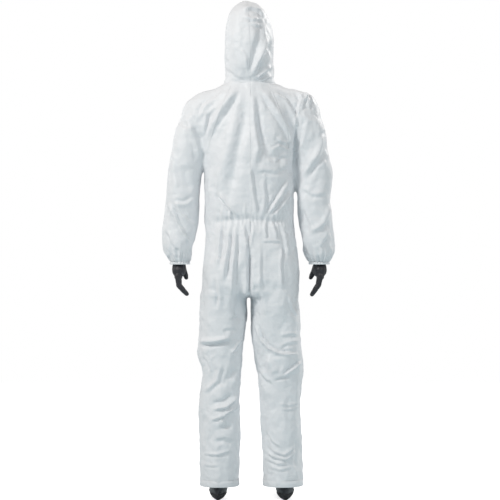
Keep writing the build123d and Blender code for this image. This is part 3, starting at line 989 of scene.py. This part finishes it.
def band(name, centre, z0, z1, radii, thick, ripples=0, depth=0.0, n=144):
    """Folded hem: an open ring with a rolled lower edge and a lining."""
    tall = z0 - z1
    rows = [
        (z0, 0.0), (z0 - tall * 0.06, thick), (z0 - tall * 0.5, thick),
        (z0 - tall * 0.94, thick), (z1, thick * 0.4), (z1, -thick * 0.7),
        (z1 + 0.002, -thick * 1.6), (z0, -thick * 1.6),
    ]
    verts = []
    for z, out in rows:
        for k in range(n):
            a = TURN * k / n
            c, s = math.cos(a), math.sin(a)
            r = depth * math.sin(a * ripples + 1.7 * math.sin(a * 4)) if ripples else 0
            r += 0.0012 * noise.noise(Vector((c * 2.1 + centre[0] * 9, s * 2.1, z * 60)))
            c, s = rounded(a, 2 / 2.2)
            x = centre[0] + (radii[0] + out + r) * c
            verts.append((x, centre[1] + (radii[1] + out + r) * s, z))
    return dressed(new_mesh(name, verts, quads(len(rows), n, True)), CLOTH)


def ring_fit(height, x0, x1, inset):
    """Centre of a limb's skin at one height, and its half size less an inset."""
    pts = [v.co for p in pieces.values() for v in p.data.vertices]
    pts = [v for v in pts if abs(v.z - height) < 0.006 and x0 < v.x < x1]
    xs, ys = [p.x for p in pts], [p.y for p in pts]
    centre = ((min(xs) + max(xs)) / 2, (min(ys) + max(ys)) / 2)
    return centre, ((max(xs) - min(xs)) / 2 - inset, (max(ys) - min(ys)) / 2 - inset)


for s, x0, x1 in (("left", 0.005, 0.25), ("right", -0.25, -0.005)):
    centre, radii = ring_fit(HEM_Z + 0.004, x0, x1, 0.0004)
    piece = band("hem_" + s, centre, HEM_Z + 0.022, HEM_Z - 0.001, radii, 0.0010)
    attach(piece, "shin_" + s)
    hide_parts("ankle_hem_" + s)
for s, x0, x1 in (("left", 0.215, 0.34), ("right", -0.34, -0.215)):
    centre, radii = ring_fit(CUFF_Z + 0.003, x0, x1, 0.0012)
    piece = band("cuff_" + s, centre, CUFF_Z + 0.007, CUFF_Z - 0.0015, radii, 0.0011, 17, 0.0014)
    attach(piece, "forearm_" + s)
    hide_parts("cuff_elastic_" + s)

# --------------------------------------------- gathered edge round the face
N = 220
rail = []
for k in range(N):
    out = Vector((math.cos(TURN * k / N), 0, math.sin(TURN * k / N)))
    x, z = FACE_X + (FACE_RX + 0.0006) * out.x, FACE_Z + (FACE_RZ + 0.0006) * out.z
    hit, _, _, _ = surface.find_nearest(Vector((x, -0.10, z)))
    rail.append((Vector((x, hit.y, z)), out))
ys = [p.y for p, _ in rail]
for _ in range(12):
    ys = averaged(ys, True)
# rings of the rolled edge: out from the opening, off the cloth, share of the gather
RINGS = [
    (0.013, -0.0002, 0.2), (0.011, 0.0016, 1.0), (0.006, 0.0026, 1.0), (0.001, 0.0022, 0.7),
    (-0.0022, 0.0004, 0.3), (-0.0022, -0.0030, 0.3), (0.002, -0.0062, 0.6), (0.010, -0.0064, 0.5),
]
verts = []
for r, lift, gather in RINGS:
    for k, ((p, out), y) in enumerate(zip(rail, ys)):
        w = math.sin(k * TURN * 37 / N + 2.3 * math.sin(k * TURN * 5 / N)) * gather
        q = p + out * (r + 0.0004 * w)
        base, _, _, _ = surface.find_nearest(Vector((q.x, y, q.z)))
        verts.append((q.x, (base.y if r > 0.004 else y) - lift - 0.0011 * w, q.z))
piece = dressed(new_mesh("face_edge", verts, quads(len(RINGS), N)), CLOTH)
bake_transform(piece)

# ------------------------------------------------------------- storm flap
FLAP_TOP, FLAP_LOW, FLAP_ROWS = -0.0092, -0.548, 150
FLAP_EDGE_X, FLAP_HINGE_X = -0.0255, 0.0285  # the two rows of stitches
FLAP_COLUMNS = [
    -0.0320, -0.0315, -0.0300, -0.0270, -0.0230, -0.0150, -0.0050,
    0.0080, 0.0200, 0.0270, 0.0300, 0.0325, 0.0350, 0.0375,
]


def zip_y(z, depth):
    """y at a depth in front of the plane of the zip."""
    return ZIP_Y * MM + ZIP_SLOPE * z + depth


verts = []
for i in range(FLAP_ROWS + 1):
    z = FLAP_TOP + (FLAP_LOW - FLAP_TOP) * i / FLAP_ROWS
    for x in FLAP_COLUMNS:
        puff = 0.0008 * noise.noise(Vector((x * 18, z * 11, 4.2)))
        puff += 0.0004 * noise.noise(Vector((x * 60, z * 42, 8.8)))
        groove = -0.0005 * bell(x - FLAP_EDGE_X, 0.0012) - 0.0005 * bell(x - FLAP_HINGE_X, 0.0012)
        roll = 0.0016 * smoothstep(-0.0300, -0.0320, x) if x < -0.0290 else 0.0
        y = zip_y(z, -0.0092) - puff - groove + roll
        if x > 0.0320:  # the sewn side comes down to the cloth
            settle = (x - 0.0320) / 0.0055
            skin, _ = drop(x, z, -1)
            y = y * (1 - settle) + (skin.y - 0.0006) * settle
        edge = 0.0006 * math.sin(z * 90) * (1 if abs(x) > 0.029 else 0)
        verts.append((x + edge, y, z))
faces = quads(FLAP_ROWS + 1, len(FLAP_COLUMNS), True, round_rows=False)
piece = new_mesh("flap_cloth", verts, faces)
thick = piece.modifiers.new("thick", "SOLIDIFY")
thick.thickness = 0.0010
thick.offset = 1.0
apply_modifier(piece, "SUBSURF", levels=1, render_levels=1)
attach(dressed(piece, CLOTH), "flap")
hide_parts("storm_flap")


def stitches(name, line, length=0.0026, gap=0.0014, radius=0.00035):
    """Row of thread stitches along a polyline of points."""
    rows = []
    pts = dense(line, length + gap)
    for a, b in zip(pts, pts[1:]):
        d = (b - a).normalized()
        s = d.orthogonal().normalized()
        u = d.cross(s)
        verts = []
        for t, r in ((0.0, 0.3), (0.25, 1.0), (0.75, 1.0), (1.0, 0.3)):
            for k in range(6):
                spoke = s * math.cos(k * math.pi / 3) + u * math.sin(k * math.pi / 3)
                verts.append(a + d * (t * length) + spoke * radius * r)
        rows.append((verts, quads(4, 6)))
    return dressed(new_mesh(name, *merge(rows)), SEAM)


for x, label in ((FLAP_EDGE_X, "edge"), (FLAP_HINGE_X, "hinge")):
    heights = np.linspace(FLAP_TOP - 0.003, FLAP_LOW + 0.003, 60)
    line = [Vector((x, zip_y(z, -0.0103), z)) for z in heights]
    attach(stitches("flap_stitches_" + label, line), "flap")

# ----------------------------------------------------------------- gloves


def capsules(name, rods, voxel, smooth):
    """Skin over a set of tapered rods, given as (a, b, ra, rb, flatness)."""
    around = 20
    parts = []
    for a, b, ra, rb, flat in rods:
        a, b = Vector(a), Vector(b)
        d = (b - a).normalized()
        s = Vector((1, 0, 0)) - d * d.x if flat else d.orthogonal()
        s.normalize()
        u = d.cross(s)
        tips = [math.radians(t) for t in np.linspace(-90, 0, 5)]
        rows = [(a + d * (ra * math.sin(t)), ra * math.cos(t)) for t in tips]
        rows += [(a.lerp(b, t), ra + (rb - ra) * t) for t in (0.25, 0.5, 0.75)]
        tips = [math.radians(t) for t in np.linspace(0, 90, 5)]
        rows += [(b + d * (rb * math.sin(t)), rb * math.cos(t)) for t in tips]
        verts = []
        for c, r in rows:
            r = max(r, 0.0003)
            for k in range(around):
                angle = k * math.pi / 10
                verts.append(c + s * math.cos(angle) * r * (flat or 1) + u * math.sin(angle) * r)
        parts.append((verts, quads(len(rows), around) + ends(len(rows), around)))
    obj = new_mesh(name, *merge(parts))
    apply_modifier(obj, "REMESH", mode="VOXEL", voxel_size=voxel)
    set_coords(obj.data, neighbours_smooth(obj.data, coords(obj.data), smooth))
    return obj


# fingers from index to little: y at the knuckle and at the tip, radius, reach
FINGERS = (
    (-0.033, -0.026, 0.0094, 0.86), (-0.014, -0.012, 0.0098, 1.0),
    (0.004, 0.002, 0.0094, 0.94), (0.020, 0.015, 0.0086, 0.70),
)
# creases of the slack rubber at wrist and finger joints: z, depth, width
GLOVE_CREASES = (
    (-0.636, 0.0012, 0.0032), (-0.648, 0.0014, 0.0030), (-0.661, 0.0012, 0.0032),
    (-0.706, 0.0007, 0.003), (-0.732, 0.0006, 0.0026), (-0.752, 0.0005, 0.0024),
)


def glove(g, s, w, path, spread):
    """Glove hanging beside the thigh: back of the hand outwards, fingers together."""
    # wrist and palm: x, y, z at both ends, both radii, flatness
    rods = [
        ((g * w, -0.006, -0.600), (g * w, -0.007, -0.652), 0.0275, 0.0265, 0.92),
        ((g * w, -0.007, -0.650), (g * (w + 0.001), -0.008, -0.682), 0.0265, 0.0285, 0.92),
    ]
    for y0, y1, r1 in ((-0.019, -0.024, 0.0165), (0.006, 0.008, 0.0160)):
        knuckle = (g * (w + 0.003), y1, -0.704)
        rods.append(((g * (w + 0.001), y0, -0.682), knuckle, 0.0220, r1, 0.95))
    # the fingers all curl towards the leg
    for y0, y1, r, reach in FINGERS:
        k = [Vector((g * x, y0 + (y1 - y0) * i / 3, z)) for i, (x, z) in enumerate(path)]
        k[2] = k[1].lerp(k[2], 0.5 + reach / 2)
        k[3] = k[2].lerp(k[3], reach)
        size = (1.25, 1.12, 1.02, 0.86)
        rods += [(k[i], k[i + 1], r * size[i], r * size[i + 1], 0) for i in range(3)]
    # thumb, forward and towards the leg
    thumb = [
        ((g * (w - 0.008), -0.024, -0.662), 0.0150),
        ((g * (w - 0.014 - spread * 0.3), -0.040, -0.686), 0.0120),
        ((g * (w - 0.019 - spread * 0.7), -0.046, -0.702), 0.0098),
        ((g * (w - 0.020 - spread), -0.047, -0.710), 0.0082),
    ]
    rods += [(a, b, ra, rb, 0) for (a, ra), (b, rb) in zip(thumb, thumb[1:])]
    obj = capsules("glove_skin_" + s, rods, 0.0021, 5)
    co, no = coords(obj.data), normals(obj.data)
    slack = np.zeros(len(co))
    for z, depth, width in GLOVE_CREASES:
        wobble = np.array([noise.noise(Vector((p[0] * 40, p[1] * 40, z * 50))) for p in co]) * 0.005
        slack -= depth * bell(co[:, 2] - z - wobble, width)
    rough = np.array([noise.noise(Vector((p[0] * 55 + 4, p[1] * 55, p[2] * 38))) for p in co])
    slack += 0.0010 * rough * smoothstep(-0.745, -0.700, co[:, 2])
    set_coords(obj.data, co + no * slack[:, None])
    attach(dressed(obj, GLOVE), "hand_" + s)
    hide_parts("glove_" + s, "glove_cuff_bead_" + s)


left_path = [(0.2665, -0.704), (0.2635, -0.738), (0.246, -0.758), (0.2345, -0.770)]
right_path = [(0.2600, -0.704), (0.2540, -0.736), (0.240, -0.757), (0.2300, -0.772)]
glove(1, "left", 0.2625, left_path, 0.005)
glove(-1, "right", 0.2575, right_path, 0.011)

# ------------------------------------------------------------------ boots
BOOT_SECTIONS = [
    (-1330, 0, 43, -53, 57), (-1380, 0, 41, -53, 57), (-1420, 0, 38, -57, 57),
    (-1450, 0, 36, -69, 59), (-1468, 0, 36.5, -79, 62), (-1480, 0, 36, -94, 65),
    (-1486, 0, 36, -134, 66.5), (-1492, 0, 36, -176, 67.5), (-1498, 0, 36, -198, 68),
    (-1506, 0, 35.5, -208, 67),
]
# sole: height and share of the full plan
SOLE_ROWS = [
    (-1.5275, 0.50), (-1.5262, 0.58), (-1.5225, 0.70), (-1.5180, 0.80), (-1.5160, 0.84),
    (-1.5130, 0.90), (-1.5085, 0.955), (-1.5065, 0.96), (-1.5050, 0.94), (-1.5040, 0.90),
]
SOLE_MIDDLE = -0.0705


def boot(g, s, cx):
    verts, faces = tube(BOOT_SECTIONS, 80, 72, 2.1)
    shaped = []
    for x, y, z in verts:
        # toe, heel and waist are narrower than the ball of the foot
        toe = smoothstep(-0.20, -0.12, y) * 0.10 + 0.90
        heel = 1 - (0.16 + 0.16 * smoothstep(-1.485, -1.51, z)) * smoothstep(-0.02, 0.05, y)
        waist = 1 - 0.10 * bell(y + 0.05, 0.045) * (1 if z < -1.47 else 0)
        shaped.append((x * toe * heel * waist, y, z))
    upper = new_mesh("boot_body_" + s, shaped, faces)
    co, no = coords(upper.data), normals(upper.data)
    slack = np.zeros(len(co))
    above_sole = smoothstep(-1.505, -1.494, co[:, 2])
    for y, depth in ((-0.092, 0.0016), (-0.108, 0.0018), (-0.124, 0.0012)):
        slack -= depth * bell(co[:, 1] - y - 0.25 * (co[:, 2] + 1.49), 0.0045) * above_sole
    for z, depth in ((-1.440, 0.0014), (-1.455, 0.0016), (-1.468, 0.0012)):
        slack -= depth * bell(co[:, 2] - z - 0.2 * co[:, 1], 0.004)
    uneven = [noise.noise(Vector((p[0] * 32, p[1] * 22 + cx, p[2] * 26))) for p in co]
    slack += 0.0010 * np.array(uneven)
    co = co + no * slack[:, None]
    co[:, 0] += cx
    set_coords(upper.data, co)
    apply_modifier(upper, "SUBSURF", levels=1, render_levels=1)
    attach(dressed(upper, BOOT), "foot_" + s)
    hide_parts("boot_upper_" + s)

    # sole: foot-shaped plan, ribbed band, arch and a heel
    plan = []
    n = 120
    for k in range(n):
        y = SOLE_MIDDLE + 0.1405 * math.sin(TURN * k / n)
        w = 0.0365 * (1 - 0.10 * bell(y + 0.055, 0.04)) * (1 - 0.30 * smoothstep(-0.02, 0.06, y))
        plan.append((w * rounded(TURN * k / n, 0.80)[0] + g * 0.003 * (y < -0.06), y))
    verts = []
    for z, f in SOLE_ROWS:
        for k, (x, y) in enumerate(plan):
            rib = 1 - 0.010 * (1 if (k // 2) % 2 and -1.5195 > z > -1.5270 else 0)
            arch = 0.0
            if z < -1.519 and -0.075 < y < -0.030:
                arch = 0.0038 * smoothstep(-0.075, -0.068, y) * smoothstep(-0.030, -0.037, y)
            reach = SOLE_MIDDLE + (y - SOLE_MIDDLE) * (1 - (1 - f) * 0.22) * rib
            verts.append((cx + x * f * rib, reach, z + arch))
    count = len(SOLE_ROWS)
    sole = new_mesh("boot_tread_" + s, verts, quads(count, n) + ends(count, n))
    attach(dressed(sole, SOLE), "foot_" + s)
    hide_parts("boot_sole_" + s)


boot(1, "left", 0.1180)
boot(-1, "right", -0.1300)

# ------------------------------------------- CAD parts that keep their shape
KEEP = {
    "zipper_tape_left": TAPE,
    "zipper_tape_right": TAPE,
    "zipper_teeth_left": ZIP,
    "zipper_teeth_right": ZIP,
    "zipper_bottom_stop": ZIP,
    "zipper_slider": ZIP,
    "zipper_pull_tab": ZIP,
    "flap_adhesive_strip": LINER,
    "flap_seam_strip": CLOTH,
    "size_label": ELASTIC,
}
for name, mat in KEEP.items():
    for material_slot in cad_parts[name].material_slots:
        material_slot.material = mat

# ---------------------------------------------------------- stage and light


def by_ray(nt, lit, seen, output):
    """Camera rays see one shader, all other rays the other."""
    ray, mix = node(nt, "LightPath"), node(nt, "MixShader")
    nt.links.new(ray.outputs["Is Camera Ray"], mix.inputs["Fac"])
    nt.links.new(lit, mix.inputs[1])
    nt.links.new(seen, mix.inputs[2])
    nt.links.new(mix.outputs["Shader"], nt.nodes[output].inputs["Surface"])


floor_mat, nt, seen = material("floor_pale", (0.80, 0.805, 0.81), 0.8)
seen.inputs["Emission Color"].default_value = (1, 1, 1, 1)
seen.inputs["Emission Strength"].default_value = 0.74
bounce = node(nt, "BsdfDiffuse", Color=(0.56, 0.64, 0.67, 1))
by_ray(nt, bounce.outputs["BSDF"], seen.outputs["BSDF"], "Material Output")
FLOOR_Z = -1.5281
corners = [(x, y, FLOOR_Z) for x, y in ((-6, -6), (6, -6), (6, 6), (-6, 6))]
floor = new_mesh("floor", corners, [(0, 1, 2, 3)])
floor.data.materials.append(floor_mat)

scene = bpy.context.scene
scene.world = bpy.data.worlds.new("studio")
scene.world.use_nodes = True
nt = scene.world.node_tree
lit = nt.nodes["Background"]
lit.inputs["Color"].default_value = (1.0, 0.985, 0.975, 1)
lit.inputs["Strength"].default_value = 0.43
seen = node(nt, "Background", Color=(1, 1, 1, 1), Strength=1.0)
by_ray(nt, lit.outputs["Background"], seen.outputs["Background"], "World Output")


def area(name, loc, aim, size, power, color):
    light = bpy.data.lights.new(name, "AREA")
    light.energy, light.size, light.color = power, size, color
    obj = bpy.data.objects.new(name, light)
    obj.location = loc
    obj.rotation_euler = (Vector(aim) - Vector(loc)).to_track_quat("-Z", "Y").to_euler()
    scene.collection.objects.link(obj)


area("key", (2.7, 2.3, 1.7), (0, 0, -0.15), 0.9, 90, (1.0, 0.97, 0.94))
area("fill", (-2.6, 2.5, 1.1), (0, 0, -0.2), 1.4, 20, (1.0, 0.985, 0.965))
area("low_fill", (-1.6, 2.8, -1.2), (0, 0, -1.2), 1.4, 8, (0.50, 0.86, 1.0))
area("front_key", (-2.7, -2.4, 1.7), (0, 0, -0.15), 0.9, 86, (1.0, 0.97, 0.94))
area("front_fill", (2.6, -2.6, 0.6), (0, 0, -0.5), 1.4, 15, (0.92, 0.97, 1.0))

scene.view_settings.view_transform = "Standard"
cam = bpy.data.cameras.new("camera")
cam.sensor_width = 36
cam.lens = 136
cam_obj = bpy.data.objects.new("camera", cam)
cam_obj.location = (0, 7.0, -0.607)
cam_obj.rotation_euler = (math.radians(90), 0, math.radians(180))
scene.collection.objects.link(cam_obj)
scene.camera = cam_obj
